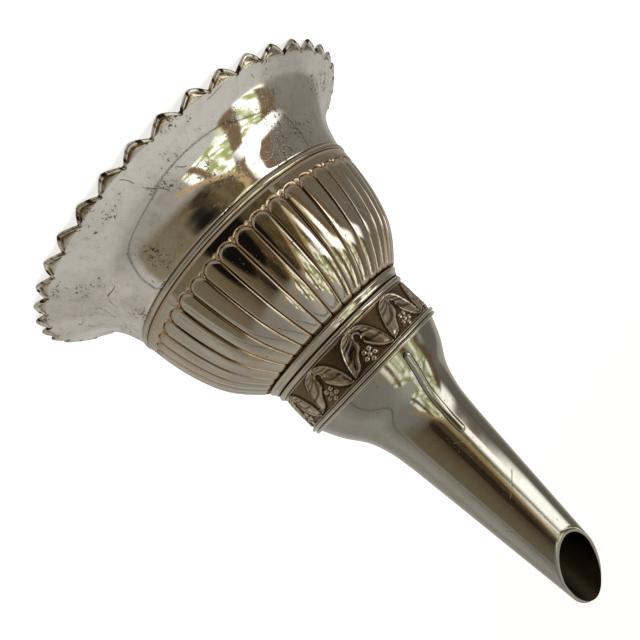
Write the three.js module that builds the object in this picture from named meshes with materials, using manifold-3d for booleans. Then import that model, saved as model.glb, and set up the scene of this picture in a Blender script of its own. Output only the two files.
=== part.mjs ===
// A two-part silver-plated wine funnel, in millimetres, standing mouth down on its rim.
// +Z runs up the axis from the mouth to the spout's tip, and the origin is the centre of the rim's
// resting plane. The bowl is soldered from a scalloped border, a flared bell, a bead, a reeded body
// and a collar with a strainer and a spigot. The spout pushes over the spigot and lifts off along +Z.
import * as THREE from "three";
import { mergeVertices } from "three/addons/utils/BufferGeometryUtils.js";
import Module from "manifold-3d";

// Driving dimensions
const GAP = 0.3; // solder and working clearance between neighbouring pieces
const ROUND = 48; // facets round a plain ring

const TOOTH_TIP_R = 52.6;
const TOOTH_NOTCH_R = 50.5;
const TOOTH_COUNT = 40;
const TOOTH_PHASE = 1.7; // degrees from +X to the first tooth's tip
const BORDER_INNER_R = 47.8;
const BORDER_HEIGHT = 2.4;

const BELL_EDGE_R = 48.0;
const BELL_EDGE_Z = 3.55; // the sheet's outer corner, with its inner corner GAP above the border
const BEAD_R = 37.0;
const BEAD_Z = 19.8;
const BEAD_HEIGHT = 1.5;
const SHEET = 1.0; // sheet thickness of bell and bowl

const REED_COUNT = 44;
const REED_VALLEY_AT = 263.5; // degrees from +X to one valley between two reeds
const REED_DEPTH = 1.1;
const REED_START_Z = 23.5;
const REED_RUN_OUT = 2.6; // height over which a reed's rounded end rises
const REED_END_Z = 50.6;

const COLLAR_TOP_Z = 53.1;
const COLLAR_FOOT_R = 23.6;
const COLLAR_TOP_R = 22.7;
const COLLAR_INNER_R = 20.6;

const STRAINER_R = 20.2;
const STRAINER_THICKNESS = 0.8;
const STRAINER_HOLE_R = 0.9;
const STRAINER_RINGS = [
  { radius: 4.5, holes: 6 },
  { radius: 9.5, holes: 12 },
  { radius: 14.5, holes: 18 },
];

const SPIGOT_R = 20.0;
const SPIGOT_WALL = 0.8;
const SPIGOT_TOP_Z = 62.0;

const SOCKET_MOUTH_Z = COLLAR_TOP_Z + GAP;
const SOCKET_R = 21.2; // outside of the spout's socket, under the relief band
const SPOUT_WALL = 0.8;
const BAND_FOOT_Z = 55.1;
const BAND_TOP_Z = 65.2;
const BAND_R = 22.3;
const BAND_RING_R = 22.75;
const LOWER_RING_HEIGHT = 0.75;
const SHOULDER_Z = 67.2;

const TIP_CUT_Z = 142.1; // where the slanted cut crosses the axis
const TIP_CUT_SLOPE = 1.53;
const TIP_CUT_AZIMUTH = 68; // degrees from +X to the tip's longest side

const RIB_COUNT = 2;
const RIB_AZIMUTH = 246.5;
const RIB_WIDTH = 2.3;
const RIB_PROUD = 1.0;
const RIB_FOOT_Z = 68.6;
const RIB_TOP_Z = 93.0;

const v2 = (r, z) => new THREE.Vector2(r, z);
const radians = THREE.MathUtils.degToRad;

// Outer outlines, as (radius, height), from the mouth upwards
const bellOutline = new THREE.SplineCurve([
  v2(BELL_EDGE_R, BELL_EDGE_Z),
  v2(44.6, 5.6),
  v2(40.9, 8.8),
  v2(38.5, 12.8),
  v2(37.2, 16.6),
  v2(36.6, BEAD_Z - BEAD_HEIGHT / 2 - GAP),
]);
const bodyOutline = new THREE.SplineCurve([
  v2(36.6, BEAD_Z + BEAD_HEIGHT / 2 + GAP),
  v2(36.3, REED_START_Z),
  v2(35.8, 27.2),
  v2(34.4, 33.8),
  v2(31.9, 40.8),
  v2(28.6, 45.9),
  v2(24.2, REED_END_Z),
]);
const spoutOutline = new THREE.SplineCurve([
  v2(SOCKET_R, SHOULDER_Z),
  v2(20.6, 69.5),
  v2(18.4, 73.1),
  v2(15.6, 77.2),
  v2(13.3, 82.6),
  v2(11.9, 90.4),
  v2(10.6, 104.0),
  v2(9.2, 119.8),
  v2(7.6, 136.0),
  v2(5.6, 156.0),
]);

const PLATE_COLOUR = 0xb9b3a6;
const silver = (name, colour, roughness) =>
  new THREE.MeshStandardMaterial({ name, color: colour, roughness, metalness: 1.0 });

const funnel = new THREE.Group();
const bowl = new THREE.Group();
const spout = new THREE.Group();
funnel.add(bowl, spout);

// Adds a named piece to its group. A lathe's own axis is Y, so lathed pieces are stood up on +Z.
function addPiece(group, name, geometry, material, lathed = true) {
  const mesh = new THREE.Mesh(geometry, material);
  mesh.name = name;
  mesh.rotation.x = lathed ? Math.PI / 2 : 0;
  group.add(mesh);
  return mesh;
}

// A closed ring from its section's corners, listed anticlockwise with radius to the right.
function ring(corners, facets = ROUND) {
  return new THREE.LatheGeometry([...corners, corners[0]], facets);
}

function plainRing(innerR, outerR, lowZ, highZ, facets = ROUND) {
  return ring([v2(innerR, lowZ), v2(outerR, lowZ), v2(outerR, highZ), v2(innerR, highZ)], facets);
}

// A half-round bead of wire, flat inside.
function beadRing(innerR, outerR, lowZ, highZ) {
  const shoulder = (outerR - innerR) * 0.4;
  const bevel = (highZ - lowZ) * 0.28;
  return ring([
    v2(innerR, lowZ),
    v2(outerR - shoulder, lowZ),
    v2(outerR, lowZ + bevel),
    v2(outerR, highZ - bevel),
    v2(outerR - shoulder, highZ),
    v2(innerR, highZ),
  ]);
}

// Points along an outline, each moved off it by distance, outwards when positive.
function offsetPoints(outline, distance, steps) {
  const points = [];
  for (let i = 0; i <= steps; i++) {
    const at = outline.getPointAt(i / steps);
    const along = outline.getTangentAt(i / steps);
    points.push(v2(at.x + along.y * distance, at.y - along.x * distance));
  }
  return points;
}

// A closed sheet section: up the outside of the outline and down the inside.
function sheetSection(outline, wall, outerSteps, innerSteps = outerSteps) {
  const outside = offsetPoints(outline, 0, outerSteps);
  const inside = offsetPoints(outline, -wall, innerSteps);
  return [...outside, ...inside.reverse()];
}

// Points round a circle.
function circlePoints(x, y, radius, sides) {
  const points = [];
  for (let i = 0; i < sides; i++) {
    const angle = (2 * Math.PI * i) / sides;
    points.push(v2(x + radius * Math.cos(angle), y + radius * Math.sin(angle)));
  }
  return points;
}

// The scalloped border: a flat ring whose outer edge runs from notch to tip round each tooth.
function borderGeometry() {
  const pitch = 360 / TOOTH_COUNT;
  const outer = [];
  for (let tooth = 0; tooth < TOOTH_COUNT; tooth++) {
    const tip = TOOTH_PHASE + tooth * pitch;
    const shoulderR = TOOTH_TIP_R - (TOOTH_TIP_R - TOOTH_NOTCH_R) * 0.35;
    for (const [offset, radius] of [
      [-pitch / 2, TOOTH_NOTCH_R],
      [-pitch / 4, shoulderR],
      [0, TOOTH_TIP_R],
      [pitch / 4, shoulderR],
    ]) {
      const angle = radians(tip + offset);
      outer.push(v2(radius * Math.cos(angle), radius * Math.sin(angle)));
    }
  }
  const shape = new THREE.Shape(outer);
  shape.holes.push(new THREE.Path(circlePoints(0, 0, BORDER_INNER_R, ROUND)));
  return new THREE.ExtrudeGeometry(shape, { depth: BORDER_HEIGHT, bevelEnabled: false });
}

// The reeded body: every second line of the lathe is pinched in to make the valley between reeds.
function reededBodyGeometry() {
  const outerSteps = 10;
  const smoothWall = SHEET + REED_DEPTH;
  const section = sheetSection(bodyOutline, smoothWall, outerSteps, 5);
  const profile = [...section, section[0]];
  const phase = radians(REED_VALLEY_AT + 90);
  const geometry = new THREE.LatheGeometry(profile, 2 * REED_COUNT, phase);
  const position = geometry.getAttribute("position");
  for (let line = 0; line <= 2 * REED_COUNT; line += 2) {
    for (let row = 0; row <= outerSteps; row++) {
      const index = line * profile.length + row;
      const height = profile[row].y;
      const rise = THREE.MathUtils.smoothstep(height, REED_START_Z, REED_START_Z + REED_RUN_OUT);
      const scale = 1 - (REED_DEPTH * rise) / profile[row].x;
      position.setX(index, position.getX(index) * scale);
      position.setZ(index, position.getZ(index) * scale);
    }
  }
  geometry.computeVertexNormals();
  return geometry;
}

// The strainer: a flat disc pierced by rings of round holes.
function strainerGeometry() {
  const hole = (x, y) => new THREE.Path(circlePoints(x, y, STRAINER_HOLE_R, 6));
  const disc = new THREE.Shape(circlePoints(0, 0, STRAINER_R, 40));
  disc.holes.push(hole(0, 0));
  for (const { radius, holes } of STRAINER_RINGS) {
    for (let i = 0; i < holes; i++) {
      const angle = (2 * Math.PI * i) / holes;
      disc.holes.push(hole(radius * Math.cos(angle), radius * Math.sin(angle)));
    }
  }
  return new THREE.ExtrudeGeometry(disc, { depth: STRAINER_THICKNESS, bevelEnabled: false });
}

const wasm = await Module();
wasm.setup();

// A closed geometry as a manifold-3d solid, and back.
function toSolid(geometry) {
  const bare = geometry.clone();
  bare.deleteAttribute("normal");
  bare.deleteAttribute("uv");
  const merged = mergeVertices(bare);
  return new wasm.Manifold(
    new wasm.Mesh({
      numProp: 3,
      vertProperties: Float32Array.from(merged.getAttribute("position").array),
      triVerts: Uint32Array.from(merged.getIndex().array),
    }),
  );
}

function toGeometry(solid) {
  const mesh = solid.getMesh();
  const geometry = new THREE.BufferGeometry();
  geometry.setAttribute("position", new THREE.BufferAttribute(mesh.vertProperties, 3));
  geometry.setIndex(new THREE.BufferAttribute(mesh.triVerts, 1));
  geometry.computeVertexNormals();
  return geometry;
}

// The spout: a straight socket, a shoulder and a long taper, cut off on a slant at the tip.
function spoutGeometry() {
  const outside = [v2(SOCKET_R, SOCKET_MOUTH_Z), ...offsetPoints(spoutOutline, 0, 14)];
  const inside = offsetPoints(spoutOutline, -SPOUT_WALL, 14);
  const lip = v2(SOCKET_R - SPOUT_WALL, SOCKET_MOUTH_Z);
  const tube = ring([...outside, ...inside.reverse(), lip], 40);
  tube.rotateX(Math.PI / 2);
  const size = 80;
  const cutter = new THREE.BoxGeometry(size, size, size);
  cutter.translate(0, 0, size / 2);
  cutter.rotateY(-Math.atan(TIP_CUT_SLOPE));
  cutter.rotateZ(radians(TIP_CUT_AZIMUTH));
  cutter.translate(0, 0, TIP_CUT_Z);
  return toGeometry(toSolid(tube).subtract(toSolid(cutter)));
}

// A vent rib: a bar that follows the shoulder and the taper, drawn in the plane of the axis.
function ribGeometry() {
  const foot = heightFraction(RIB_FOOT_Z);
  const top = heightFraction(RIB_TOP_Z);
  const steps = 9;
  const inner = [];
  const outer = [];
  for (let i = 0; i <= steps; i++) {
    const u = foot + ((top - foot) * i) / steps;
    const at = spoutOutline.getPointAt(u);
    const along = spoutOutline.getTangentAt(u);
    const swell = i === 0 || i === steps ? 0.45 : 1;
    inner.push(v2(at.x + along.y * GAP, at.y - along.x * GAP));
    const proud = GAP + RIB_PROUD * swell;
    outer.push(v2(at.x + along.y * proud, at.y - along.x * proud));
  }
  const geometry = new THREE.ExtrudeGeometry(new THREE.Shape([...outer, ...inner.reverse()]), {
    depth: RIB_WIDTH,
    bevelEnabled: false,
  });
  geometry.translate(0, 0, -RIB_WIDTH / 2);
  geometry.rotateX(Math.PI / 2);
  return geometry;
}

// How far along the spout's outline a height lies, from 0 at the shoulder to 1 at the end.
function heightFraction(height) {
  let low = 0;
  let high = 1;
  for (let i = 0; i < 24; i++) {
    const middle = (low + high) / 2;
    if (spoutOutline.getPointAt(middle).y < height) low = middle;
    else high = middle;
  }
  return low;
}

// Bowl
const plate = silver("polished_plate", PLATE_COLOUR, 0.2);
addPiece(bowl, "rim_border", borderGeometry(), silver("cast_border", 0x9c9384, 0.35), false);
addPiece(bowl, "flared_bell", ring(sheetSection(bellOutline, SHEET, 7, 5)), plate);
addPiece(
  bowl,
  "bowl_bead",
  beadRing(BEAD_R - 1.3, BEAD_R, BEAD_Z - BEAD_HEIGHT / 2, BEAD_Z + BEAD_HEIGHT / 2),
  silver("bead_wire", 0x8d8577, 0.25),
);
addPiece(bowl, "reeded_body", reededBodyGeometry(), silver("reeded_plate", 0xa39c8d, 0.22));
addPiece(
  bowl,
  "bowl_collar",
  ring([
    v2(COLLAR_INNER_R, REED_END_Z + GAP),
    v2(COLLAR_FOOT_R, REED_END_Z + GAP),
    v2(COLLAR_TOP_R, REED_END_Z + 1.2),
    v2(COLLAR_TOP_R, COLLAR_TOP_Z),
    v2(COLLAR_INNER_R, COLLAR_TOP_Z),
  ]),
  silver("collar_plate", 0x9d9485, 0.25),
);
const inside = silver("inside_plate", 0xa8a193, 0.4);
const strainerZ = REED_END_Z + GAP;
const strainer = addPiece(bowl, "strainer_plate", strainerGeometry(), inside, false);
strainer.position.z = strainerZ;
const spigotZ = strainerZ + STRAINER_THICKNESS + GAP;
addPiece(
  bowl,
  "spigot_sleeve",
  plainRing(SPIGOT_R - SPIGOT_WALL, SPIGOT_R, spigotZ, SPIGOT_TOP_Z, 40),
  inside,
);

// Spout
const tarnished = silver("tarnished_plate", 0x7a6a50, 0.4);
const overSocket = SOCKET_R + GAP;
addPiece(spout, "spout_tube", spoutGeometry(), plate, false);
addPiece(
  spout,
  "socket_ring",
  beadRing(overSocket, BAND_RING_R, SOCKET_MOUTH_Z, BAND_FOOT_Z - GAP),
  tarnished,
);
addPiece(spout, "vine_band", plainRing(overSocket, BAND_R, BAND_FOOT_Z, BAND_TOP_Z), tarnished);
for (const index of [0, 1]) {
  const low = BAND_TOP_Z + GAP + index * (LOWER_RING_HEIGHT + GAP);
  const name = `band_foot_ring_${index + 1}`;
  const outerR = BAND_RING_R - 0.35 * index;
  addPiece(spout, name, beadRing(overSocket, outerR, low, low + LOWER_RING_HEIGHT), tarnished);
}
for (let index = 0; index < RIB_COUNT; index++) {
  const rib = addPiece(spout, `vent_rib_${index + 1}`, ribGeometry(), plate, false);
  rib.rotation.z = radians(RIB_AZIMUTH + (360 * index) / RIB_COUNT);
}

export default funnel;
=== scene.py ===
# The visual model of the two-part silver-plated wine funnel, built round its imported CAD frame.
# Lengths inside the builders are in millimetres, and every mesh is made in metres.
import math

import bpy
import numpy as np
from mathutils import Matrix, Vector


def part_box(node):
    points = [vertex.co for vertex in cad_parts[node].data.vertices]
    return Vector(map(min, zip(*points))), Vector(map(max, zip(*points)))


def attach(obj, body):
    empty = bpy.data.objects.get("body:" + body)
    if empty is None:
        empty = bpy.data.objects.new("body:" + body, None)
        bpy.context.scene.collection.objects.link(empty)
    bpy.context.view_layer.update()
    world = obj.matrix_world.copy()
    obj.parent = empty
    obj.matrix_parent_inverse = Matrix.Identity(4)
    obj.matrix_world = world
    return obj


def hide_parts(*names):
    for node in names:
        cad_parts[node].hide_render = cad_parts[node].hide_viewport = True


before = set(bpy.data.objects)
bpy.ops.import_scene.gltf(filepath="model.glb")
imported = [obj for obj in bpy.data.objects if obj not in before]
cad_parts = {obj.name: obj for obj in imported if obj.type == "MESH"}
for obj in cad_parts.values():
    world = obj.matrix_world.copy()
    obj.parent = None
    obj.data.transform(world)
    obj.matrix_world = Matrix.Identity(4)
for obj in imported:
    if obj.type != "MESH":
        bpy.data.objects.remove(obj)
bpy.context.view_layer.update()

MM = 0.001
SEED = 20

TOOTH_COUNT = 40
REED_COUNT = 44
LEAF_REPEATS = 10
REED_VALLEY = 263.5  # the direction of one valley between reeds, in degrees from +X
LEAF_MIDDLE = 264.5  # the direction of the middle of one leaf pair, in degrees from +X
SCALLOP_DEPTH = 2.1
SHEET = 0.9
SPOUT_WALL = 0.9


# --- Reading the frame -------------------------------------------------------------------------

def heights(node):
    """The lowest and highest z of a CAD node, in mm."""
    low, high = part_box(node)
    return low.z / MM, high.z / MM


def outer_radius(node):
    """The largest radius of a CAD node, in mm."""
    return max(math.hypot(v.co.x, v.co.y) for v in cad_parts[node].data.vertices) / MM


def inner_radius(node):
    """The smallest radius of a CAD node, in mm."""
    return min(math.hypot(v.co.x, v.co.y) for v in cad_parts[node].data.vertices) / MM


def outline(node):
    """Heights and radii, in mm, up the outside of a ring-shaped CAD node."""
    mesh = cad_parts[node].data
    fewest_in_a_row = 4
    found = {}
    for face in mesh.polygons:
        away = Vector((face.center.x, face.center.y, 0)).normalized()
        if face.normal.dot(away) < 0.1:
            continue
        for index in face.vertices:
            co = mesh.vertices[index].co
            height = round(co.z / MM, 2)
            found.setdefault(height, {})[tuple(co)] = math.hypot(co.x, co.y) / MM
    rows = sorted((z, max(rs.values())) for z, rs in found.items() if len(rs) >= fewest_in_a_row)
    while rows[0][1] < rows[1][1] - 0.1:
        rows.pop(0)  # the inner corner of a slanted end, since no outline widens towards the tip
    return np.array(rows)


def azimuth_of(node):
    """The direction, in degrees from +X, in which a CAD node lies from the axis."""
    cos = [v.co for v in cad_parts[node].data.vertices]
    return math.degrees(math.atan2(sum(c.y for c in cos), sum(c.x for c in cos)))


def first_ridge(node, at_height, count):
    """The direction, in degrees, of the first outermost point of an outline that repeats."""
    nearby = 1.5
    cos = [v.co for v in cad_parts[node].data.vertices]
    rows = [co for co in cos if abs(co.z / MM - at_height) < nearby]
    far = max(rows, key=lambda c: round(math.hypot(c.x, c.y) / MM, 3))
    return math.degrees(math.atan2(far.y, far.x)) % (360 / count)


def tip_cut():
    """A point and the unit normal of the slanted cut at the spout's tip, in mm."""
    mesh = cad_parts["spout_tube"].data
    top = heights("spout_tube")[1]
    faces = [f for f in mesh.polygons if f.normal.z > 0.4 and f.center.z / MM > 0.8 * top]
    area = sum(f.area for f in faces)
    normal = sum((f.normal * f.area for f in faces), Vector()).normalized()
    point = sum((f.center * f.area for f in faces), Vector()) / area / MM
    return point, normal


# --- Curves and meshes -------------------------------------------------------------------------

def smooth(points, at):
    """A smooth curve through (x, y) points with rising x, read at the values in at."""
    x, y = np.asarray(points, float).T
    step = np.diff(x)
    slope = np.diff(y) / step
    tangent = np.empty_like(y)
    tangent[0], tangent[-1] = slope[0], slope[-1]
    tangent[1:-1] = (slope[:-1] * step[1:] + slope[1:] * step[:-1]) / (step[1:] + step[:-1])
    k = np.clip(np.searchsorted(x, at) - 1, 0, len(x) - 2)
    t = (np.asarray(at) - x[k]) / step[k]
    flat = np.clip(t, 0, 1)
    h = step[k]
    between = (
        (2 * flat**3 - 3 * flat**2 + 1) * y[k]
        + (flat**3 - 2 * flat**2 + flat) * h * tangent[k]
        + (3 * flat**2 - 2 * flat**3) * y[k + 1]
        + (flat**3 - flat**2) * h * tangent[k + 1]
    )
    return between + (t - flat) * h * np.where(t > 1, tangent[k + 1], tangent[k])


def spaced_along(points, distances):
    """A smooth line through (x, y) points, read at distances in mm from its first point."""
    travelled = np.concatenate([[0], np.cumsum(np.hypot(*np.diff(points, axis=0).T))])
    return [smooth(np.column_stack([travelled, column]), distances) for column in points.T]


def ramp(value, low, high):
    """0 below low, 1 above high, and smooth between."""
    t = np.clip((value - low) / (high - low), 0, 1)
    return t * t * (3 - 2 * t)


def wobble(angle, seed, waves=(3, 5, 8, 13), falloff=0.7):
    """A gentle irregular curve round the axis, between about -1 and 1, the same each run."""
    rng = np.random.default_rng(seed)
    total = np.zeros_like(angle)
    for i, wave in enumerate(waves):
        total += falloff**i * np.sin(wave * angle + rng.uniform(0, 2 * math.pi))
    return total / sum(falloff**i for i in range(len(waves)))


def place(piece, body, node):
    """Puts a piece on its body, in place of its CAD node."""
    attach(piece, body)
    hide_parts(node)


def finish_mesh(name, mesh, material, sharp=50):
    """An object in the scene with smooth faces, apart from edges over sharp degrees."""
    mesh.materials.append(material)
    mesh.shade_smooth()
    mesh.set_sharp_from_angle(angle=math.radians(sharp))
    piece = bpy.data.objects.new(name, mesh)
    bpy.context.scene.collection.objects.link(piece)
    return piece


def store_grime_and_painted_light(mesh, values):
    """Keeps a value from 0 to 1 for each point of a mesh, for its material to read: grime, and in places
    painted shade and painted glints.
    """
    layer = mesh.attributes.new("grime_and_painted_light", "FLOAT", "POINT")
    layer.data.foreach_set("value", values)


def ring_piece(name, material, radius, height, angles, grime_and_painted_light, sharp=50):
    """A closed ring: radius and height in mm are (rows, columns) grids that wrap both ways.

    Rows run along the outside and back along the inside, and angles are the columns' directions.
    """
    rows, columns = np.broadcast(radius, height, angles[None]).shape
    radius, height = (np.broadcast_to(g, (rows, columns)) for g in (radius, height))
    co = np.stack([radius * np.cos(angles), radius * np.sin(angles), height], -1).reshape(-1, 3)
    row, column = np.meshgrid(np.arange(rows), np.arange(columns), indexing="ij")
    next_row, next_column = (row + 1) % rows, (column + 1) % columns
    faces = np.stack(
        [
            row * columns + column,
            row * columns + next_column,
            next_row * columns + next_column,
            next_row * columns + column,
        ],
        -1,
    ).reshape(-1, 4)
    mesh = bpy.data.meshes.new(name)
    mesh.from_pydata((co * MM).tolist(), [], faces.tolist())
    store_grime_and_painted_light(mesh, np.broadcast_to(grime_and_painted_light, (rows, columns)).ravel())
    return finish_mesh(name, mesh, material, sharp)


def lathe(name, material, profile, grime_and_painted_light, columns=256):
    """A plain ring from a closed section of (radius, height) points, anticlockwise."""
    r, z = np.asarray(profile, float).T
    dirt_and_painted_light = np.asarray(grime_and_painted_light, float)[:, None]
    return ring_piece(name, material, r[:, None], z[:, None], turn(columns), dirt_and_painted_light, sharp=40)


def turn(columns, start=0.0):
    """Directions round the axis, in radians."""
    return start + np.linspace(0, 2 * math.pi, columns, endpoint=False)


def normals(r, z):
    """Unit normals, to the right of the direction of travel, along a curve in the (r, z) plane."""
    dr, dz = np.gradient(r), np.gradient(z)
    length = np.hypot(dr, dz)
    return dz / length, -dr / length


def half_round(inner, outer, low, high, steps):
    """A closed section with a round outside and a flat inside."""
    middle, half = (low + high) / 2, (high - low) / 2
    angles = np.linspace(-math.pi / 2, math.pi / 2, steps)
    bulge = min(half, outer - inner)
    arc = [(outer - bulge + bulge * math.cos(a), middle + half * math.sin(a)) for a in angles]
    return [(inner, low), *arc, (inner, high)]


# --- Materials ---------------------------------------------------------------------------------

class Nodes:
    """Builds a node tree in short steps. A value may be a number, a vector, a colour or a socket."""

    def __init__(self, tree):
        self.tree = tree
        tree.nodes.clear()

    def new(self, kind, **settings):
        node = self.tree.nodes.new(kind)
        for name, value in settings.items():
            setattr(node, name, value)
        return node

    def feed(self, socket, value):
        if isinstance(value, bpy.types.NodeSocket):
            self.tree.links.new(value, socket)
        elif isinstance(value, tuple) and socket.type == "RGBA":
            socket.default_value = (*value, 1)
        else:
            socket.default_value = value

    def math(self, operation, *values):
        node = self.new("ShaderNodeMath", operation=operation)
        for socket, value in zip(node.inputs, values):
            self.feed(socket, value)
        return node.outputs[0]

    def step(self, value, low, high):
        """0 at low, 1 at high, and smooth between. low may be above high."""
        node = self.new("ShaderNodeMapRange", interpolation_type="SMOOTHSTEP")
        for socket, given in zip(node.inputs, (value, low, high)):
            self.feed(socket, given)
        return node.outputs[0]

    def outside(self, mask):
        return self.math("SUBTRACT", 1.0, mask)

    def weaker(self, mask, share):
        return self.math("MULTIPLY", mask, share)

    def all_of(self, *masks):
        total = masks[0]
        for mask in masks[1:]:
            total = self.math("MULTIPLY", total, mask)
        return total

    def any_of(self, *masks):
        total = masks[0]
        for mask in masks[1:]:
            total = self.math("MAXIMUM", total, mask)
        return total

    def mix(self, share, first, second):
        node = self.new("ShaderNodeMix", data_type="RGBA")
        self.feed(node.inputs["Factor"], share)
        self.feed(node.inputs[6], first)
        self.feed(node.inputs[7], second)
        return node.outputs[2]

    def dot(self, vector, direction):
        node = self.new("ShaderNodeVectorMath", operation="DOT_PRODUCT")
        self.feed(node.inputs[0], vector)
        self.feed(node.inputs[1], direction)
        return node.outputs["Value"]

    def place(self, scale=(1, 1, 1), spin=(0, 0, 0)):
        """Object coordinates in mm, stretched and turned."""
        where = self.new("ShaderNodeTexCoord").outputs["Object"]
        node = self.new("ShaderNodeMapping")
        self.feed(node.inputs["Vector"], where)
        self.feed(node.inputs["Rotation"], spin)
        self.feed(node.inputs["Scale"], tuple(s / MM for s in scale))
        return node.outputs[0]

    def noise(self, vector, scale, detail=4.0, roughness=0.55):
        node = self.new("ShaderNodeTexNoise")
        self.feed(node.inputs["Vector"], vector)
        self.feed(node.inputs["Scale"], scale)
        self.feed(node.inputs["Detail"], detail)
        self.feed(node.inputs["Roughness"], roughness)
        return node.outputs[0]

    def attribute(self, name):
        return self.new("ShaderNodeAttribute", attribute_name=name).outputs["Fac"]

    def bump(self, height, depth_mm, base=None):
        node = self.new("ShaderNodeBump")
        node.inputs["Strength"].default_value = 1.0
        node.inputs["Distance"].default_value = depth_mm * MM
        self.feed(node.inputs["Height"], height)
        if base is not None:
            self.feed(node.inputs["Normal"], base)
        return node.outputs[0]

    def finish(self, kind, surface):
        """Ends the tree in an output node."""
        self.feed(self.new(kind).inputs["Surface"], surface)


def new_material(name):
    """A material and its empty node tree."""
    material = bpy.data.materials.new(name)
    material.use_nodes = True
    return material, Nodes(material.node_tree)


def specks(n, size, amount, spin=(0, 0, 0), stretch=(1, 1, 1)):
    """Small dark pits: 1 in a pit and 0 on unmarked plate. amount is between 0 and 1."""
    grains = n.noise(n.place(stretch, spin), 1 / size, detail=2.5, roughness=0.65)
    clumps = n.noise(n.place(), 0.11, detail=3.0)
    level = n.math("SUBTRACT", 0.74, n.weaker(n.step(clumps, 0.40, 0.66), amount))
    return n.step(n.math("SUBTRACT", grains, level), 0.0, 0.035)


def hairlines(n, scale, spin, width=0.0028, stretch=(1, 1, 1), shown=0.55):
    """Long fine scratches, where a slow noise crosses its middle value."""
    field = n.noise(n.place(stretch, spin), scale, detail=1.0, roughness=0.3)
    line = n.math("ABSOLUTE", n.math("SUBTRACT", field, 0.5))
    part = n.step(n.noise(n.place(), 0.16, detail=1.0), shown - 0.03, shown + 0.03)
    return n.all_of(n.step(line, width, width * 0.3), part)


def silver(
    name,
    clean_metal_and_painted_shade=(0.80, 0.775, 0.735),
    stain_and_glint=(0.36, 0.28, 0.17),
    grime_and_painted_light=(0.030, 0.022, 0.014),
    gloss=0.12,
    stains=0.25,
    pits=0.22,
    pit_size=0.7,
    scratches=0.5,
    grain=0.004,
):
    """Old silver plate: a metal colour, warm stains, dark pits and scratches, and darkening and staining
    read from each mesh, which are grime in recesses and in places painted shade and painted glints.
    """
    material, n = new_material(name)
    recess = n.attribute("grime_and_painted_light")
    cloud = n.noise(n.place(), 0.055, detail=5.0)
    fine_cloud = n.noise(n.place(), 0.5, detail=4.0)
    broad_stain = n.weaker(n.step(cloud, 0.42, 0.72), stains)
    fine_stain = n.weaker(n.step(fine_cloud, 0.45, 0.7), stains * 0.6)
    # The mesh's stored values also turn the metal stain-coloured: tarnish in recesses, and painted
    # orange glints in the dimples between the reeds' ends.
    recess_stain_and_glint = n.weaker(n.step(recess, 0.02, 0.50), 0.9)
    warmth = n.any_of(n.math("ADD", broad_stain, fine_stain), recess_stain_and_glint)
    pit = specks(n, pit_size, pits)
    streak = specks(n, pit_size * 0.8, pits * 0.9, spin=(0.4, 0.9, 0.3), stretch=(1, 0.3, 1))
    scratch = hairlines(n, 0.045, (0.3, 0.2, 0.9))
    scuff = hairlines(n, 0.9, (0.9, 0.1, 0.4), width=0.012, stretch=(1, 0.07, 1), shown=0.5)
    # The last term darkens the metal from each mesh's stored values: grime in recesses, and painted
    # shade in the spout's bore.
    dirt_and_painted_light = n.any_of(
        n.weaker(pit, 0.75),
        n.weaker(streak, 0.6),
        n.weaker(scratch, scratches),
        n.weaker(scuff, scratches * 0.35),
        n.step(recess, 0.50, 0.98),
    )
    colour = n.mix(dirt_and_painted_light, n.mix(warmth, clean_metal_and_painted_shade, stain_and_glint), grime_and_painted_light)
    dull = n.weaker(n.step(fine_cloud, 0.35, 0.8), gloss * 0.7)
    rough = n.math("ADD", gloss, dull)
    rough = n.math("ADD", rough, n.weaker(dirt_and_painted_light, 0.35))
    rough = n.math("ADD", rough, n.weaker(warmth, 0.08))
    brushed = n.noise(n.place((1, 1, 0.25)), 3.2, detail=3.0, roughness=0.6)
    pitted = n.outside(n.any_of(pit, scratch))
    shader = n.new("ShaderNodeBsdfPrincipled")
    shader.inputs["Metallic"].default_value = 1.0
    n.feed(shader.inputs["Base Color"], colour)
    n.feed(shader.inputs["Roughness"], rough)
    n.feed(shader.inputs["Normal"], n.bump(pitted, 0.03, n.bump(brushed, grain)))
    n.finish("ShaderNodeOutputMaterial", shader.outputs[0])
    return material


def make_materials():
    """The seven silver materials on the funnel; the reeds' and the spout's metal colours are darker than
    the bell's, which is painted shade.
    """
    return {
        "bell": silver(
            "pale_pitted_silver", stains=0.30, pits=0.185, pit_size=1.0, scratches=0.8, gloss=0.04
        ),
        "border": silver(
            "scalloped_edge_silver", stains=0.7, pits=0.20, pit_size=0.55, gloss=0.10, grain=0.02
        ),
        # Painted shade and painted glints: the reeds' metal colour is darker than the bell's, and their
        # orange stain colour paints orange glints in the dimples between their ends.
        "reeds": silver(
            "reeded_silver",
            clean_metal_and_painted_shade=(0.50, 0.475, 0.415),
            stain_and_glint=(0.56, 0.31, 0.11),
            stains=0.3,
            pits=0.08,
            scratches=0.35,
            gloss=0.05,
        ),
        "bead": silver(
            "bead_silver", clean_metal_and_painted_shade=(0.58, 0.55, 0.48), stains=0.4, pits=0.09, gloss=0.08, pit_size=0.4
        ),
        # Painted shade: the spout's metal colour is far darker than the bell's.
        "spout": silver(
            "smooth_spout_silver",
            clean_metal_and_painted_shade=(0.40, 0.388, 0.345),
            stains=0.25,
            pits=0.08,
            scratches=0.3,
            gloss=0.07,
        ),
        "band": silver(
            "stamped_band_silver",
            clean_metal_and_painted_shade=(0.74, 0.67, 0.56),
            stain_and_glint=(0.15, 0.082, 0.030),
            stains=0.55,
            pits=0.08,
            pit_size=0.35,
            gloss=0.12,
            grain=0.01,
        ),
        "inside": silver("dull_inside_silver", stains=0.6, pits=0.1, gloss=0.3, grain=0.01),
    }


# --- The bowl ----------------------------------------------------------------------------------

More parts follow.
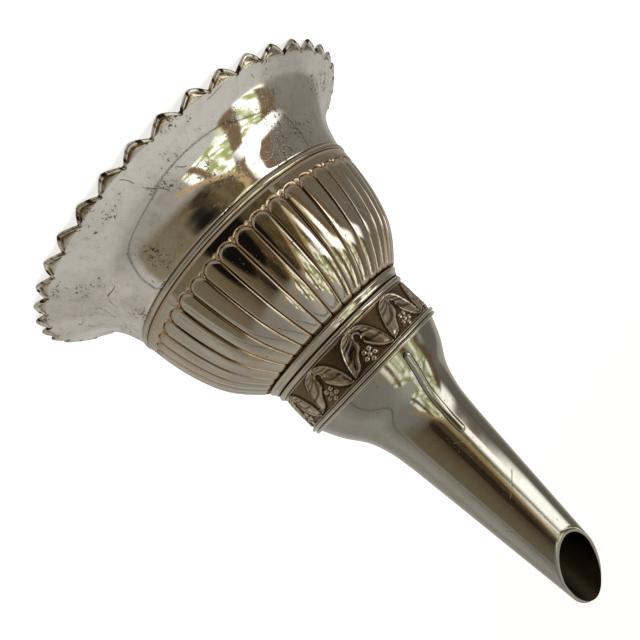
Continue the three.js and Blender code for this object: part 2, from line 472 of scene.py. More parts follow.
def bell_curve():
    """The outside of the bell as (radius, height) from its neck to the tips of its scallops."""
    rows = outline("flared_bell")[:, ::-1][::-1]
    tip = outer_radius("rim_border")
    notch = tip - SCALLOP_DEPTH
    notch_height = heights("rim_border")[1] - 0.2
    tip_height = 1.3
    clear_of_border = rows[:, 0] < notch - 2.2
    return np.vstack([rows[clear_of_border], [[notch, notch_height], [tip, tip_height]]])


def offset_inward(r, z, distance):
    """The curve pushed in by a sheet's thickness, where the curve's outside is on its right."""
    nr, nz = normals(r, z)
    return r - nr * distance, z - nz * distance


def tooth_shape(share):
    """How far out a scallop reaches, from 0 in a notch (share -1 or 1) to 1 at its tip."""
    share = np.abs(share)
    return 0.75 * np.cos(math.pi / 2 * share) ** 0.9 + 0.25 * (1 - share)


def build_bell(materials):
    """The flared sheet, with a crevice that is darkened to near black where its neck goes under the
    bead.
    """
    curve = bell_curve()[:-1]
    length = np.hypot(*np.diff(curve, axis=0).T).sum()
    under_bead = 0.3
    crevice_depth, crevice_reach = 0.30, 0.25
    distance = np.linspace(length, -under_bead, 84)
    radius, height = spaced_along(curve, distance)
    inner_r, inner_z = offset_inward(radius, height, SHEET)
    inner_z = np.maximum(inner_z, 0.6)
    angles = turn(384)
    r = np.concatenate([radius, inner_r[::-1]])[:, None]
    z = np.concatenate([height, inner_z[::-1]])[:, None]
    crevice = np.exp(-(distance + under_bead) / crevice_reach)
    crevice = np.concatenate([crevice, np.zeros_like(crevice)])[:, None]
    share = ramp(r, curve[0, 0], curve[-1, 0])
    middle = 4 * share * (1 - share)
    dents = 0.035 * wobble(angles, SEED) + 0.012 * wobble(angles, SEED + 1, (11, 17, 23))
    worn = r + dents[None] * middle - crevice_depth * crevice
    grime_and_painted_light = 1.02 * crevice
    grime_and_painted_light[len(radius):] = 0.25
    piece = ring_piece("flared_bell_sheet", materials["bell"], worn, z, angles, grime_and_painted_light)
    place(piece, "bowl", "flared_bell")


def build_border(materials):
    """The scalloped border: a drooping sheet from the bell's edge to a round wire along its teeth."""
    curve = bell_curve()
    notch, tip = curve[-2, 0], curve[-1, 0]
    per_tooth = 44
    phase = math.radians(first_ridge("rim_border", 1.2, TOOTH_COUNT))
    angles = turn(TOOTH_COUNT * per_tooth, phase - math.pi / TOOTH_COUNT)
    share = np.tile(np.linspace(-1, 1, per_tooth, endpoint=False), TOOTH_COUNT)
    rng = np.random.default_rng(SEED + 2)
    reach = np.repeat(rng.uniform(0.92, 1.0, TOOTH_COUNT), per_tooth)
    edge = notch + (tip - notch) * tooth_shape(share) * reach
    start = notch - 0.1
    start_height = smooth(curve, np.array([start]))[0]
    lap, wire = 1.6, 0.48

    def top(r):
        """The height of a scallop's upper face, which droops towards its edge and its notches."""
        out = np.maximum(r - start, 0)
        return start_height - 0.70 * out - 0.11 * out**2 - 0.22 * np.abs(share) ** 3 * (out > 0)

    rows = []  # radius, height and darkening, from under the wire over the top and back underneath
    middle_r = edge - wire
    middle_z = np.maximum(top(middle_r) - 0.22, wire + 0.02)
    for angle in np.radians(np.linspace(-95, 118, 11)):
        rows.append((middle_r + wire * math.cos(angle), middle_z + wire * math.sin(angle), 0.0))
    crevice_r = np.maximum(edge - 2.3 * wire, start + 0.02)
    rows.append((crevice_r, np.minimum(top(crevice_r), middle_z + wire) - 0.10, 0.85))
    for part in (0.25, 0.5, 0.75, 1.0):
        r = np.maximum(crevice_r + (start - crevice_r) * part, start)
        rows.append((r, top(r), 0.30 * (1 - part) + 0.12))
    inner_edge = np.full_like(edge, start - lap)
    rows.append((inner_edge, top(np.full_like(edge, start)) - 0.1, 0.5))
    rows.append((inner_edge, np.full_like(edge, start_height - 1.0), 0.5))
    rows.append((middle_r - 0.3, middle_z - wire, 0.6))
    r = np.array([row[0] for row in rows])
    z = np.array([row[1] for row in rows])
    # The scallops darken towards each notch.
    notch_darkening = 0.72 * np.exp(-(((1 - np.abs(share)) / 0.14) ** 2))
    grime_and_painted_light = np.array([np.maximum(row[2], notch_darkening) for row in rows])
    flecks = 0.5 + 0.5 * wobble(angles, SEED + 3, (61, 97, 143, 211), 0.9)
    wire_top, crevice = slice(2, 9), 11
    grime_and_painted_light[wire_top] = np.maximum(grime_and_painted_light[wire_top], 0.95 * ramp(flecks, 0.50, 0.70))
    grime_and_painted_light[crevice] *= 0.35 + 0.65 * ramp(flecks, 0.3, 0.6)
    piece = ring_piece("scalloped_border", materials["border"], r, z, angles, grime_and_painted_light, sharp=60)
    place(piece, "bowl", "rim_border")


def edge_darkening(steps, rise, start):
    """Darkening round a half-round wire: none on its crown, and more towards its two edges."""
    half = (steps - 1) / 2
    return [max(0.0, abs(i - half) / half * rise - start) for i in range(steps)]


def build_bowl_bead(materials):
    """The half-round wire over the seam between bell and bowl."""
    low, high = heights("bowl_bead")
    outer, inner = outer_radius("bowl_bead"), inner_radius("bowl_bead")
    steps, lap = 14, 0.05
    section = half_round(inner - 0.2, outer, low - lap, high + lap, steps)
    grime_and_painted_light = [1.0, *edge_darkening(steps, 1.7, 0.7), 1.0]
    piece = lathe("bowl_bead_wire", materials["bead"], section, grime_and_painted_light)
    place(piece, "bowl", "bowl_bead")


def reed_surface(z, share, start, crest):
    """The height and darkening of the reeds below their crests, with painted orange glints in the
    dimples. share is -1 to 1 across one reed.
    """
    half = math.pi * crest / REED_COUNT
    from_end = np.maximum(start + half - z, 0)
    across = np.hypot(share, from_end / half)
    depth = 0.42 + 0.18 * ramp(z, start, start + 8)
    line_width, dimple_width = 0.17, 0.45
    capped = np.clip(across, 0, 1)
    rounded_top = 0.34 * capped**2 + 0.66 * ramp(capped, 0.83, 1.01)
    beyond = np.exp(-np.maximum(across - 1, 0) * half / line_width)
    fall = depth * np.where(across <= 1, rounded_top, beyond)
    aside = (1 - np.abs(share)) * half
    dimple = np.exp(-(aside**2 + (z - start - 0.55) ** 2) / dimple_width**2)
    line = np.exp(-(((across - 1) * half) / line_width) ** 2)
    # The dimples get 0.45, which the reeds' orange stain colour turns into painted orange glints.
    return fall + 0.5 * dimple, np.maximum(line, 0.45 * dimple)


def build_reeded_body(materials):
    """The bowl: a band of convex reeds with round lower ends, and a plain inside."""
    rows = outline("reeded_body")
    low, high = rows[0, 0] - 0.25, rows[-1, 0]
    start = low + 2.9
    wall, per_reed = 1.9, 16
    pitch = 2 * math.pi / REED_COUNT
    even = np.linspace(-1, 1, per_reed, endpoint=False)
    bunched = 0.35 * even + 0.65 * np.sin(even * math.pi / 2)
    middles = math.radians(REED_VALLEY) + (np.arange(REED_COUNT) + 0.5) * pitch
    angles = (middles[:, None] + bunched * pitch / 2).ravel()
    share = np.tile(bunched, REED_COUNT)[None]
    z = np.concatenate([
        np.linspace(low, start - 0.5, 5, endpoint=False),
        np.linspace(start - 0.5, start + 3.3, 34, endpoint=False),
        np.linspace(start + 3.3, high, 44),
    ])
    crest = smooth(rows, z)
    fall, grime_and_painted_light = reed_surface(z[:, None], share, start, crest[0])
    joint = np.maximum(ramp(z, high - 0.35, high), ramp(z, low + 0.35, low + 0.05))[:, None]
    nr, nz = normals(crest, z)
    outer_r = crest[:, None] - fall * nr[:, None] - 0.25 * joint
    outer_z = z[:, None] - np.minimum(fall * nz[:, None], 0.6)
    inner_z = z[::-3]
    inner_r = np.broadcast_to((crest - wall)[::-3, None], (len(inner_z), len(angles)))
    r = np.vstack([outer_r, inner_r])
    h = np.vstack([outer_z, np.broadcast_to(inner_z[:, None], inner_r.shape)])
    dirt_and_painted_light = np.vstack([np.maximum(grime_and_painted_light, joint), np.full(inner_r.shape, 0.3)])
    piece = ring_piece("reeded_bowl_body", materials["reeds"], r, h, angles, dirt_and_painted_light, sharp=75)
    place(piece, "bowl", "reeded_body")


def build_collar(materials):
    """The plain stepped ring below the reeds."""
    low, high = heights("bowl_collar")
    foot, inner = outer_radius("bowl_collar"), inner_radius("bowl_collar")
    top = foot - 0.9
    section = [(inner, low - 0.2), (foot - 0.5, low - 0.2), (foot - 0.1, low + 0.05),
               (foot, low + 0.35), (foot - 0.1, low + 0.7), (foot - 0.35, low + 1.0),
               (top + 0.25, low + 1.35), (top + 0.05, high - 0.5), (top, high - 0.2),
               (top - 0.25, high + 0.02), (inner, high + 0.02)]
    grime_and_painted_light = [0.9, 0.9, 0.5, 0, 0, 0.25, 0.1, 0, 0.2, 0.9, 0.9]
    piece = lathe("bowl_collar_moulding", materials["bead"], section, grime_and_painted_light)
    place(piece, "bowl", "bowl_collar")


def add_circle(curve, x, y, radius):
    """Adds a circle of four arcs, in mm, to a flat curve."""
    handle = 0.5523 * radius  # the handle length that makes a quarter arc round
    spline = curve.splines.new("BEZIER")
    spline.bezier_points.add(3)
    spline.use_cyclic_u = True
    for k, point in enumerate(spline.bezier_points):
        angle = k * math.pi / 2
        on_circle = Vector((x, y, 0)) + Vector((math.cos(angle), math.sin(angle), 0)) * radius
        along = Vector((-math.sin(angle), math.cos(angle), 0)) * handle
        point.co = on_circle * MM
        point.handle_left = (on_circle - along) * MM
        point.handle_right = (on_circle + along) * MM


def build_strainer(materials):
    """A flat disc with rings of round holes, all with soft edges."""
    low, high = heights("strainer_plate")
    hole, bevel = 0.9, 0.12
    curve = bpy.data.curves.new("strainer_outline", "CURVE")
    curve.dimensions = "2D"
    curve.fill_mode = "BOTH"
    curve.resolution_u = 8
    add_circle(curve, 0, 0, outer_radius("strainer_plate") - 0.1)
    add_circle(curve, 0, 0, hole)
    for ring, count in ((4.5, 6), (9.5, 12), (14.5, 18)):
        for angle in turn(count):
            add_circle(curve, ring * math.cos(angle), ring * math.sin(angle), hole)
    curve.bevel_depth = bevel * MM
    curve.bevel_resolution = 2
    curve.extrude = ((high - low) / 2 - bevel) * MM
    curve.offset = -bevel * MM
    shape = bpy.data.objects.new("strainer_outline", curve)
    bpy.context.scene.collection.objects.link(shape)
    bpy.context.view_layer.update()
    mesh = bpy.data.meshes.new_from_object(shape.evaluated_get(bpy.context.evaluated_depsgraph_get()))
    mesh.transform(Matrix.Translation((0, 0, (low + high) / 2 * MM)))
    bpy.data.objects.remove(shape)
    mesh.materials.clear()
    piece = finish_mesh("pierced_strainer", mesh, materials["inside"], 40)
    place(piece, "bowl", "strainer_plate")


def build_spigot(materials):
    """The plain sleeve that the spout pushes over, with a rounded lip."""
    low, high = heights("spigot_sleeve")
    outer, inner = outer_radius("spigot_sleeve"), inner_radius("spigot_sleeve")
    lip = 0.35
    section = [(inner, low), (outer, low), (outer, low + 1), (outer, high - 2.5),
               (outer - 0.02, high - 1.0), (outer - 0.15, high - lip), (outer - 0.35, high - 0.1),
               (outer - 0.5, high), (inner + 0.1, high - 0.1), (inner, high - lip)]
    piece = lathe("spigot_sleeve_tube", materials["inside"], section, [0.2] * len(section), 192)
    place(piece, "bowl", "spigot_sleeve")


# --- The spout ---------------------------------------------------------------------------------

def build_ring(node, name, materials):
    """A half-round ring that laps a little over its neighbours."""
    low, high = heights(node)
    outer, inner = outer_radius(node), inner_radius(node)
    steps, lap = 12, 0.12
    section = half_round(inner - 0.1, outer, low - lap, high + lap, steps)
    grime_and_painted_light = [0.9, *edge_darkening(steps, 1.5, 0.75), 0.9]
    piece = lathe(name, materials["bead"], section, grime_and_painted_light)
    place(piece, "spout", node)


def distance_to(points, u, v):
    """The distance in mm from each (u, v) to a line through points."""
    best = np.full(u.shape, 1e9)
    for (x0, y0), (x1, y1) in zip(points[:-1], points[1:]):
        dx, dy = x1 - x0, y1 - y0
        t = np.clip(((u - x0) * dx + (v - y0) * dy) / (dx * dx + dy * dy), 0, 1)
        best = np.minimum(best, np.hypot(u - x0 - t * dx, v - y0 - t * dy))
    return best


def is_inside(points, u, v):
    """Whether each (u, v) is inside the closed outline through points."""
    hit = np.zeros(u.shape, bool)
    for (x0, y0), (x1, y1) in zip(points, points[1:] + points[:1]):
        crosses = (y0 > v) != (y1 > v)
        with np.errstate(divide="ignore", invalid="ignore"):
            hit ^= crosses & (u < (x1 - x0) * (v - y0) / (y1 - y0) + x0)
    return hit


def rounded(points, steps=6):
    """A smooth open line through points, by Catmull-Rom."""
    p = np.array([points[0], *points, points[-1]], float)
    out = []
    for a, b, c, d in zip(p[:-3], p[1:-2], p[2:-1], p[3:]):
        for t in np.linspace(0, 1, steps, endpoint=False):
            out.append(tuple(0.5 * (2 * b + (c - a) * t + (2 * a - 5 * b + 4 * c - d) * t**2
                                    + (3 * b - a - 3 * c + d) * t**3)))
    return out + [tuple(p[-1])]


# One repeat of the vine, in mm from its middle and foot: a pair of leaves, a curl and berries.
LEFT_OUTER = [(0.0, 0.5), (-2.0, 0.8), (-3.9, 2.1), (-5.5, 4.9), (-6.3, 7.5), (-6.6, 9.6)]
RIGHT_OUTER = [(-x, y) for x, y in LEFT_OUTER]
LEFT_INNER = [(-0.2, 2.4), (-0.6, 4.8), (-2.6, 6.5), (-4.2, 8.7), (-6.3, 9.4)]
RIGHT_INNER = [(1.5, 5.6), (3.6, 8.3), (6.2, 9.8)]
CURL = [(-0.2, 2.4), (0.5, 1.9), (1.3, 2.3), (1.6, 3.2), (1.2, 4.0), (1.5, 5.6)]
BERRY_CENTRE = (0.0, 7.9)
BERRY_COUNT = 5


def berry_places():
    """The middle berry and the ones round it, each as (u, v, radius)."""
    u, v = BERRY_CENTRE
    spread = 1.42
    ring = math.pi / 2 + turn(BERRY_COUNT)
    around = [(u + spread * math.cos(a), v + spread * math.sin(a), 0.78) for a in ring]
    return [(u, v, 0.72), *around]


def vine_relief(u, v):
    """The height and tarnish of one repeat of the stamped band, in mm from its middle and foot."""
    left = rounded(LEFT_OUTER) + rounded(LEFT_INNER[::-1])
    right = rounded(RIGHT_OUTER) + rounded(RIGHT_INNER[::-1] + CURL[::-1][1:])
    ridge = np.full(u.shape, 1e9)
    leaf = np.zeros(u.shape, bool)
    for line in (left, right):
        leaf |= is_inside(line, u, v)
        ridge = np.minimum(ridge, distance_to(line + line[:1], u, v))
    fan = np.arctan2(v - 0.5, np.abs(u) + 0.6)
    veins = 0.5 + 0.5 * np.sin(26 * fan + 1.9 * np.abs(u) + 0.8 * np.sin(2.1 * v))
    domed = ramp(ridge, 0.0, 1.3)
    ridge_height, ridge_width = 0.50, 0.20
    height = np.where(leaf, 0.12 + 0.16 * domed + 0.05 * veins * domed, 0.0)
    height = np.maximum(height, ridge_height * np.exp(-((ridge / ridge_width) ** 2)))
    cleared, clear_edge = 1.9, 2.35
    around = np.hypot(u - BERRY_CENTRE[0], v - BERRY_CENTRE[1])
    height = np.where(around < clear_edge, height * ramp(around, cleared, clear_edge), height)
    berry_height = 0.60
    for x, y, radius in berry_places():
        away = np.clip(np.hypot(u - x, v - y) / radius, 0, 1)
        height = np.maximum(height, berry_height * np.sqrt(1 - away**2))
    worn_bright = height > 0.36
    ground = 0.64 + 0.26 * np.exp(-((ridge - 0.40) ** 2) / 0.15)
    grime_and_painted_light = np.where(leaf, 0.18 + 0.42 * (1 - veins) ** 2, ground)
    grime_and_painted_light = np.where(worn_bright, 0.0, grime_and_painted_light)
    return height, np.clip(grime_and_painted_light, 0, 0.85)


def build_band(materials):
    """The stamped band: repeats of the vine between two plain edges."""
    low, high = heights("vine_band")
    top, inner = outer_radius("vine_band"), inner_radius("vine_band")
    lap, depth = 0.15, 0.62
    low, high = low - lap, high + lap
    per_repeat, rows = 96, 68
    pitch = 2 * math.pi / LEAF_REPEATS
    share = np.linspace(-0.5, 0.5, per_repeat, endpoint=False)
    middles = math.radians(LEAF_MIDDLE) + np.arange(LEAF_REPEATS) * pitch
    angles = (middles[:, None] + share * pitch).ravel()
    v = np.linspace(0, high - low, rows)
    height, grime_and_painted_light = vine_relief(*np.meshgrid(-share * pitch * top, v))
    height, grime_and_painted_light = np.tile(height, LEAF_REPEATS), np.tile(grime_and_painted_light, LEAF_REPEATS)
    from_edge = np.minimum(v, high - low - v)[:, None]
    plain_edge = 0.40 * np.exp(-(((from_edge - 0.22) / 0.2) ** 2))
    height = np.maximum(height, plain_edge)
    back = (2, len(angles))
    r = np.vstack([top - depth + height, np.full(back, inner - 0.2)])
    z = np.concatenate([low + v, [high, low]])[:, None]
    grime_and_painted_light = np.vstack([grime_and_painted_light * ramp(from_edge, 0.05, 0.6), np.full(back, 0.5)])
    piece = ring_piece("stamped_vine_band", materials["band"], r, z, angles, grime_and_painted_light, sharp=80)
    place(piece, "spout", "vine_band")


def spout_curve():
    """The outside of the spout as (height, radius), with its taper carried on past the cut."""
    rows = outline("spout_tube")
    shoulder = heights("band_foot_ring_2")[1] - 0.2
    below_cut = heights("spout_tube")[1] - 28
    carried_on = 45
    whole = rows[(rows[:, 0] > shoulder) & (rows[:, 0] < below_cut)]
    last, before = whole[-1], whole[-4]
    slope = (last[1] - before[1]) / (last[0] - before[0])
    return np.vstack([whole, [last[0] + carried_on, last[1] + carried_on * slope]])


def build_spout(materials):
    """The socket, shoulder and long taper, with a rounded lip on the slanted cut."""
    curve = spout_curve()
    point, normal = tip_cut()
    shoulder = curve[0, 0]
    straight_top = 108.0
    trim, ease = 0.30, 0.30
    angles = turn(160)
    every_way = np.ones(len(angles))

    def cut_height(r):
        """Where the slanted cut crosses a wall of radius r, for each column."""
        x, y = r * np.cos(angles), r * np.sin(angles)
        rise = (normal.x * (x - point.x) + normal.y * (y - point.y)) / normal.z
        return point.z - trim - rise

    def wall_radius(h):
        """The spout's outer radius at one height, which is the same all the way up the socket."""
        return smooth(curve, np.array([max(h, shoulder)]))[0]

    def above_straight(part):
        """Heights between the last level row and the lip's edge, for each column."""
        return straight_top + (end_z - ease - straight_top) * part

    end_z = cut_height(7.0 * every_way)
    for _ in range(8):
        end_r = smooth(curve, end_z)
        end_z = cut_height(end_r)
    lower = np.concatenate([[heights("spout_tube")[0], shoulder - 0.6],
                            np.linspace(shoulder, 80, 36, endpoint=False),
                            np.linspace(80, straight_top, 34)])
    rows = [(wall_radius(h) * every_way, h * every_way) for h in lower]
    for part in np.linspace(0, 1, 34)[1:]:
        h = above_straight(part)
        rows.append((smooth(curve, h), h))
    for angle in np.radians((35, 70, 110, 145)):
        r = end_r - SPOUT_WALL / 2 + math.cos(angle) * SPOUT_WALL / 2
        rows.append((r, cut_height(r) - ease * (1 - math.sin(angle))))
    outside = len(rows)
    bore_gap = SPOUT_WALL + 0.1
    dark_rows = 20
    for part in np.linspace(1, 0, dark_rows):
        h = above_straight(part)
        rows.append((smooth(curve, h) - bore_gap, h))
    rows += [((wall_radius(h) - bore_gap) * every_way, h * every_way) for h in lower[::-3]]
    grime_and_painted_light = np.zeros(len(rows))
    grime_and_painted_light[:3] = 0.6, 0.6, 0.5
    grime_and_painted_light[outside:] = 0.6
    # Painted shade: the bore's rows nearest the tip are darkened to near black.
    grime_and_painted_light[outside:outside + dark_rows] = 0.97
    r, h = np.array(rows).transpose(1, 0, 2)
    dirt_and_painted_light = np.broadcast_to(grime_and_painted_light[:, None], r.shape)
    dent = 0.05 * wobble(angles, SEED + 5, (2, 3, 5))[None] * ramp(h, 70, 85) * ramp(h, 150, 125)
    piece = ring_piece("tapered_spout", materials["spout"], r + dent, h, angles, dirt_and_painted_light, sharp=55)
    place(piece, "spout", "spout_tube")


def rib_section(base, width, half, proud, sunk):
    """One cross-section of a rib as (across, out, darkening): a round top and two sunk feet."""
    points = []
    for angle in np.linspace(0, math.pi, 15):
        out = base + proud * width**0.6 * math.sin(angle) ** 0.85
        points.append((half * width * math.cos(angle), out, max(0.0, 1 - 2.4 * math.sin(angle) * width)))
    for side in (-1, 1):
        points.append((side * half * width, base - sunk, 1.0))
    return points


def build_rib(node, name, materials):
    """A half-round bar with round ends, lying along the spout."""
    low, high = heights(node)
    middle = math.radians(azimuth_of(node))
    curve = spout_curve()
    half, proud, sunk, narrowest = 1.15, 1.0, 0.35, 0.04
    end = [(half * (1 - math.cos(a)), math.sin(a)) for a in np.radians(np.linspace(0, 90, 9))]
    stations = [(low + inset, width) for inset, width in end]
    stations += [(z, 1.0) for z in np.linspace(low + half, high - half, 46)[1:-1]]
    stations += [(high - inset, width) for inset, width in end[::-1]]
    vertices, dirt_and_painted_light = [], []
    for z, width in stations:
        base = smooth(curve, np.array([z]))[0]
        for across, out, grime_and_painted_light in rib_section(base, max(width, narrowest), half, proud, sunk):
            turned = middle + across / base
            vertices.append((out * math.cos(turned) * MM, out * math.sin(turned) * MM, z * MM))
            dirt_and_painted_light.append(grime_and_painted_light)
    count = len(stations)
    around = len(vertices) // count
    faces = []
    for i in range(count - 1):
        for j in range(around):
            k = (j + 1) % around
            faces.append((i * around + j, i * around + k, (i + 1) * around + k, (i + 1) * around + j))
    faces.append(tuple(range(around))[::-1])
    faces.append(tuple((count - 1) * around + j for j in range(around)))
    mesh = bpy.data.meshes.new(name)
    mesh.from_pydata(vertices, [], faces)
    store_grime_and_painted_light(mesh, dirt_and_painted_light)
    piece = finish_mesh(name, mesh, materials["spout"], 50)
    place(piece, "spout", node)


# --- The studio --------------------------------------------------------------------------------

def towards(longitude, latitude):
    """The unit vector in a direction given in degrees."""
    lon, lat = math.radians(longitude), math.radians(latitude)
    return Vector((math.cos(lat) * math.cos(lon), math.cos(lat) * math.sin(lon), math.sin(lat)))


class Sky(Nodes):
    """A node tree that paints the world by direction, with masks from 0 to 1."""

    def __init__(self, tree):
        super().__init__(tree)
        self.ray = self.new("ShaderNodeTexCoord").outputs["Generated"]
        self.height = self.dot(self.ray, Vector((0, 0, 1)))

    def beyond(self, first, second, soft=0.02):
        """1 to the left of the straight edge seen from first to second, 0 to its right."""
        normal = towards(*first).cross(towards(*second)).normalized()
        return self.step(self.dot(self.ray, normal), -soft, soft)

    def bar(self, first, second, half_width, soft=0.006):
        """1 on a straight bar through two directions."""
        normal = towards(*first).cross(towards(*second)).normalized()
        away = self.math("ABSOLUTE", self.dot(self.ray, normal))
        return self.step(away, half_width + soft, half_width - soft)

    def spot(self, centre, radius, soft):
        """1 within radius degrees of a direction, falling to 0 over soft degrees."""
        edge = math.cos(math.radians(radius + soft))
        full = math.cos(math.radians(radius))
        return self.step(self.dot(self.ray, towards(*centre)), edge, full)


# Edges in the studio, each from one direction to another as (longitude, latitude) in degrees.
WINDOW_SIDE = ((165, 40), (215, 2))
WINDOW_LINTEL = ((176, 67), (130, 22))
WINDOW_SILL = ((227, 3), (278, 45))
WINDOW_END = ((266, 60), (262, 0))


def paint_room(n):
    """Pale walls and ceiling, with a dim corner and a dim wall."""
    patches = n.noise(n.ray, 2.2, detail=3.0)
    walls = n.mix(n.step(patches, 0.35, 0.7), (0.47, 0.45, 0.405), (0.60, 0.58, 0.54))
    room = n.mix(n.step(n.height, 0.5, 0.95), walls, (0.62, 0.61, 0.575))
    past_window = n.outside(n.beyond(*WINDOW_SIDE))
    under_lintel = n.beyond(*WINDOW_LINTEL, soft=0.04)
    dim_corner = n.all_of(past_window, under_lintel, n.spot((172, 4), 34, 34))
    room = n.mix(n.weaker(dim_corner, 0.85), room, (0.20, 0.185, 0.155))
    dim_wall = n.spot((308, 42), 20, 26)
    return n.mix(n.weaker(dim_wall, 0.75), room, (0.33, 0.315, 0.275))


def paint_window(n, room, above_sill, streaks):
    """A window on pale daylight and leaves, with three brown glazing bars."""
    under_head = n.step(n.height, 0.922, 0.912)
    under_lintel = n.beyond(*WINDOW_LINTEL, soft=0.012)
    opening = n.all_of(above_sill, under_head, under_lintel)
    window = n.all_of(opening, n.beyond(*WINDOW_SIDE, soft=0.008))
    window = n.all_of(window, n.outside(n.beyond(*WINDOW_END, soft=0.01)))
    leaves = n.step(n.noise(n.ray, 8.0, detail=5.0), 0.42, 0.60)
    daylight = n.mix(leaves, (1.75, 1.74, 1.62), (0.46, 0.53, 0.17))
    low_pane = n.step(n.dot(n.ray, towards(207, 18)), 0.93, 0.99)
    daylight = n.mix(low_pane, daylight, (2.5, 2.5, 2.55))
    room = n.mix(window, room, daylight)
    side_bar = n.bar(*WINDOW_SIDE, 0.085)
    centre_bar = n.bar((194, 55), (230, 14), 0.080)
    thin_bar = n.bar((252, 60), (250, 15), 0.045)
    bars = n.any_of(side_bar, centre_bar, thin_bar)
    bars = n.all_of(bars, n.spot((214, 33), 50, 2), opening)
    return n.mix(bars, room, n.mix(streaks, (0.13, 0.085, 0.045), (0.34, 0.235, 0.13)))


def paint_screen(n, room, above_sill, streaks):
    """A brown screen under the window, with black shade, a wooden sill, a cable and the floor."""
    below_sill = n.outside(above_sill)
    screen = n.all_of(
        below_sill,
        n.step(n.height, 0.66, 0.46),
        n.step(n.height, -0.45, -0.35),
        n.beyond((225, 4), (227, -40)),
        n.beyond((343, -30), (332, 35), soft=0.05),
    )
    brown = n.mix(n.step(streaks, 0.3, 0.7), (0.095, 0.066, 0.032), (0.19, 0.145, 0.080))
    far_end = n.step(n.dot(n.ray, towards(350, 5)), 0.15, 0.95)
    room = n.mix(screen, room, n.mix(far_end, brown, (0.27, 0.23, 0.155)))
    shade = n.any_of(n.spot((276, -2), 16, 7), n.weaker(n.spot((268, 23), 5, 6), 0.7))
    room = n.mix(n.all_of(shade, below_sill), room, (0.010, 0.009, 0.009))
    sill = n.all_of(n.bar((227, 4.5), (278, 46.5), 0.040), n.spot((250, 26), 30, 5))
    room = n.mix(sill, room, (0.58, 0.40, 0.21))
    cable = n.all_of(n.bar((330, 65), (346, 0), 0.011, soft=0.004), n.step(n.height, -0.2, 0.0))
    room = n.mix(n.weaker(cable, 0.85), room, (0.05, 0.045, 0.03))
    floor = n.step(n.height, -0.12, -0.22)
    return n.mix(floor, room, (0.42, 0.40, 0.36))


def make_world():
    """A pale room with one soft window, its brown glazing bars, and a brown screen beside it."""
    world = bpy.data.worlds.new("soft_studio")
    bpy.context.scene.world = world
    world.use_nodes = True
    n = Sky(world.node_tree)
    above_sill = n.beyond(*WINDOW_SILL, soft=0.008)
    streaks = n.noise(n.ray, 14.0, detail=3.0)
    room = paint_room(n)
    room = paint_window(n, room, above_sill, streaks)
    room = paint_screen(n, room, above_sill, streaks)
    background = n.new("ShaderNodeBackground")
    n.feed(background.inputs["Color"], room)
    background.inputs["Strength"].default_value = 1.0
    n.finish("ShaderNodeOutputWorld", background.outputs[0])


def dome_curve(level, rise):
    """The backdrop's section as (radius, height): a flat floor, a curve up and a dome over it."""
    curve = [(r, 0.0) for r in (0.02, 0.25, 0.6, level)]
    for a in np.radians(np.arange(10, 91, 10)):
        curve.append((level + rise * math.sin(a), rise * (1 - math.cos(a))))
    for a in np.radians(np.arange(10, 90, 10)):
        curve.append(((level + rise) * math.cos(a), rise + math.sin(a)))
    return curve


def make_backdrop():
    """One pale sheet: a floor under the rim that curves up into a dome. Only the camera sees it."""
    size, turns, floor = 1.6, 96, -0.0002
    level, rise = 0.9, 0.5
    curve = dome_curve(level, rise)
    vertices = [(0, 0, floor)]
    for r, z in curve:
        for a in turn(turns):
            vertices.append((r * size * math.cos(a), r * size * math.sin(a), floor + z * size))
    vertices.append((0, 0, floor + (1 + rise) * size))
    faces = [(0, 1 + k, 1 + (k + 1) % turns) for k in range(turns)]
    for row in range(len(curve) - 1):
        for k in range(turns):
            a, b = 1 + row * turns, 1 + (row + 1) * turns
            faces.append((a + k, b + k, b + (k + 1) % turns, a + (k + 1) % turns))
    last = 1 + (len(curve) - 1) * turns
    faces += [(last + k, len(vertices) - 1, last + (k + 1) % turns) for k in range(turns)]
    mesh = bpy.data.meshes.new("backdrop")
    mesh.from_pydata(vertices, [], faces)
    backdrop = finish_mesh("backdrop", mesh, pale_paper(), 180)
    backdrop.visible_diffuse = False
    backdrop.visible_glossy = False
    backdrop.visible_transmission = False
    backdrop.visible_shadow = False


def pale_paper():
    """Matt white paper that glows a little, so that it stays evenly pale."""
    material, n = new_material("pale_paper")
    shader = n.new("ShaderNodeBsdfPrincipled")
    fibre = n.noise(n.place(), 0.8, detail=3.0)
    n.feed(shader.inputs["Base Color"], n.mix(fibre, (0.80, 0.80, 0.79), (0.83, 0.83, 0.82)))
    shader.inputs["Roughness"].default_value = 0.9
    shader.inputs["Specular IOR Level"].default_value = 0.1
    shader.inputs["Emission Color"].default_value = (1, 1, 1, 1)
    shader.inputs["Emission Strength"].default_value = 0.72
    n.finish("ShaderNodeOutputMaterial", shader.outputs[0])
    return material


def make_camera():
    """Level with the funnel's middle and rolled, so that the spout points down to the right."""
    azimuth, elevation, roll = -87.923, 2.883, math.radians(133.76)
    back = towards(azimuth, elevation)
    level = Vector((0, 0, 1)).cross(back).normalized()
    across = level * math.cos(roll) + back.cross(level) * math.sin(roll)
    upward = back.cross(across)
    data = bpy.data.cameras.new("camera")
    data.lens = 39.72
    data.sensor_width = 36
    data.shift_x = -0.0703
    data.shift_y = 0.0094
    data.clip_start = 0.01
    data.clip_end = 20
    camera = bpy.data.objects.new("camera", data)
    turned = Matrix((across, upward, back)).transposed().to_4x4()
    camera.matrix_world = Matrix.Translation((0, -0.1888, 0.0659)) @ turned
    bpy.context.scene.collection.objects.link(camera)
    bpy.context.scene.camera = camera


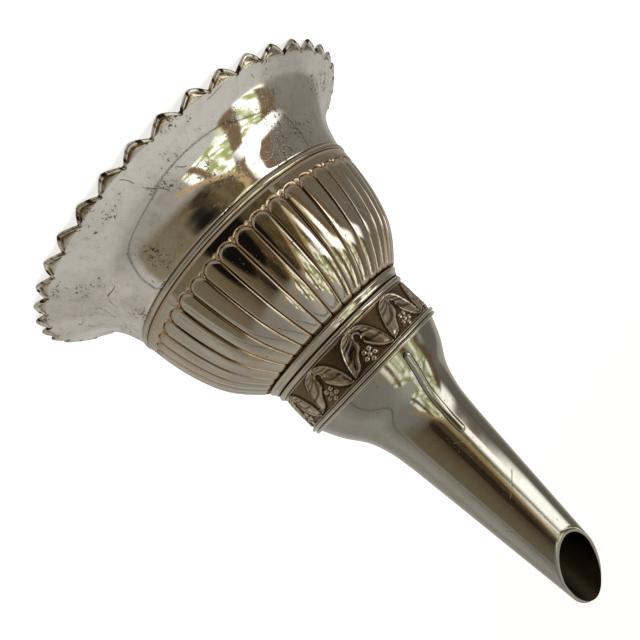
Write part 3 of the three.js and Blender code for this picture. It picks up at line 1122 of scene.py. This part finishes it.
def lit_cloth(radius, low, high):
    """Glowing cloth that fades out towards all four edges of a soft box of this size, in mm."""
    centre, full, gone = 198, 3, 33
    low_fade, high_fade = 160, 120
    material, n = new_material("lit_cloth")
    light = n.new("ShaderNodeEmission")
    light.inputs["Strength"].default_value = 1.0
    weave = n.noise(n.place(), 0.008, detail=2.0)
    n.feed(light.inputs["Color"], n.mix(weave, (2.75, 2.85, 2.95), (2.3, 2.3, 2.2)))
    sideways = n.dot(n.place(), towards(centre, 0))
    upwards = n.dot(n.place(), Vector((0, 0, 1)))
    share = n.all_of(
        n.step(sideways, radius * math.cos(math.radians(gone)), radius * math.cos(math.radians(full))),
        n.step(upwards, low, low + low_fade),
        n.step(upwards, high, high - high_fade),
    )
    clear = n.new("ShaderNodeBsdfTransparent")
    fade = n.new("ShaderNodeMixShader")
    n.feed(fade.inputs[0], share)
    n.feed(fade.inputs[1], clear.outputs[0])
    n.feed(fade.inputs[2], light.outputs[0])
    n.finish("ShaderNodeOutputMaterial", fade.outputs[0])
    return material


def make_soft_box():
    """A wide curved light, 1.5 m from the funnel, which draws the bright streak along the spout."""
    radius, low, high = 1500, 560, 1060
    vertices, faces = [], []
    for k, angle in enumerate(np.radians(np.linspace(160, 240, 24))):
        for z in (low, high):
            vertices.append((radius * MM * math.cos(angle), radius * MM * math.sin(angle), z * MM))
        if k:
            faces.append((2 * k - 2, 2 * k, 2 * k + 1, 2 * k - 1))
    mesh = bpy.data.meshes.new("curved_soft_box")
    mesh.from_pydata(vertices, [], faces)
    soft_box = finish_mesh("curved_soft_box", mesh, lit_cloth(radius, low, high), 180)
    soft_box.visible_camera = False
    soft_box.visible_diffuse = False
    soft_box.visible_shadow = False


def make_lights():
    """Two soft lights on the pale sheet, which the metal doesn't mirror."""
    middle = Vector((0, 0, 0.07))
    distance = 1.1
    for name, where, size, power in (
        ("key_soft_box", (205, 38), 0.5, 3.0),
        ("fill_soft_box", (20, 50), 0.6, 1.5),
    ):
        data = bpy.data.lights.new(name, "AREA")
        data.size = size
        data.energy = power
        lamp = bpy.data.objects.new(name, data)
        lamp.location = middle + towards(*where) * distance
        lamp.rotation_mode = "QUATERNION"
        lamp.rotation_quaternion = towards(*where).to_track_quat("Z", "Y")
        lamp.visible_camera = False
        lamp.visible_glossy = False
        bpy.context.scene.collection.objects.link(lamp)


# --- Putting it together -----------------------------------------------------------------------

materials = make_materials()
make_camera()
make_world()
make_lights()
make_soft_box()
make_backdrop()
build_bell(materials)
build_border(materials)
build_bowl_bead(materials)
build_reeded_body(materials)
build_collar(materials)
build_strainer(materials)
build_spigot(materials)
build_spout(materials)
build_ring("socket_ring", "socket_ring_bead", materials)
build_band(materials)
build_ring("band_foot_ring_1", "band_foot_bead_1", materials)
build_ring("band_foot_ring_2", "band_foot_bead_2", materials)
build_rib("vent_rib_1", "vent_rib_bar_1", materials)
build_rib("vent_rib_2", "vent_rib_bar_2", materials)

bpy.context.scene.view_settings.view_transform = "Standard"
